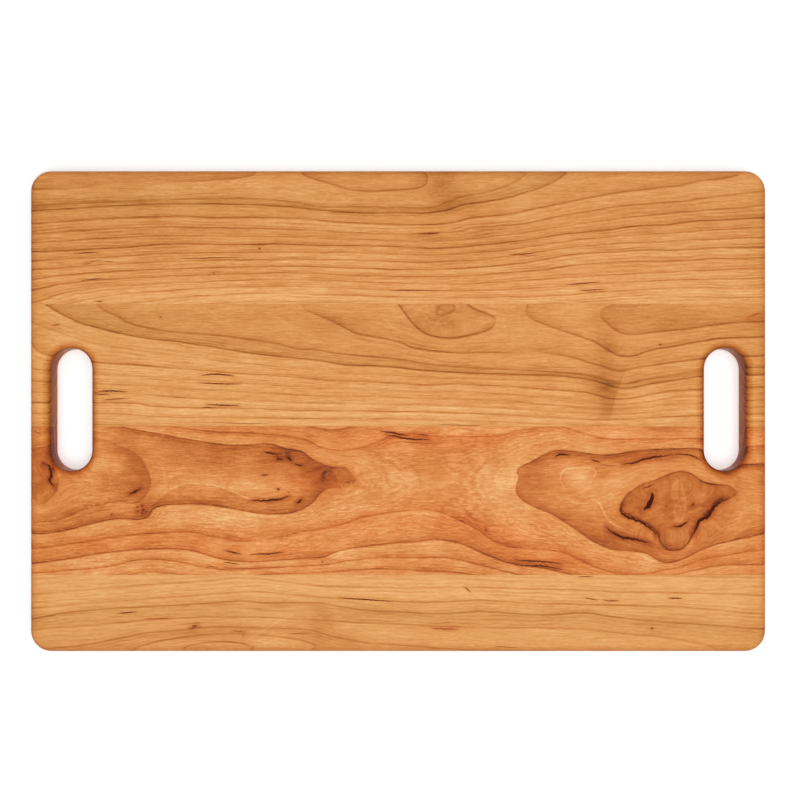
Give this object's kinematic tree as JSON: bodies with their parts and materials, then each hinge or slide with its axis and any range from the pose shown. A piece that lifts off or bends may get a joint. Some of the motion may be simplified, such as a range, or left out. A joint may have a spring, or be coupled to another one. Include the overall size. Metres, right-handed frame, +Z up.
{
  "type": "cutting board",
  "caption": "Rectangular edge-glued hardwood cutting board with rounded corners and edges and a round-ended hand slot cut through near each end.",
  "frame": {"origin": "middle of the underside, on the surface that the board lies on", "axes": "+X along the grain and the length, towards the right-hand slot; +Y across the staves, from the front edge to the rear edge; +Z up, out of the working face"},
  "size_m": [0.4572, 0.299, 0.019],
  "materials": {
    "wood_rear": "satin",
    "wood_rear_middle": "satin",
    "wood_front_middle": "satin",
    "wood_front": "satin",
    "glue": "matte"
  },
  "bodies": {
    "root": {"stave_rear": "wood_rear", "stave_rear_middle": "wood_rear_middle", "stave_front_middle": "wood_front_middle", "stave_front": "wood_front", "glue_line_rear": "glue", "glue_line_middle_left": "glue", "glue_line_middle_centre": "glue", "glue_line_middle_right": "glue", "glue_line_front": "glue"}
  },
  "joints": []
}
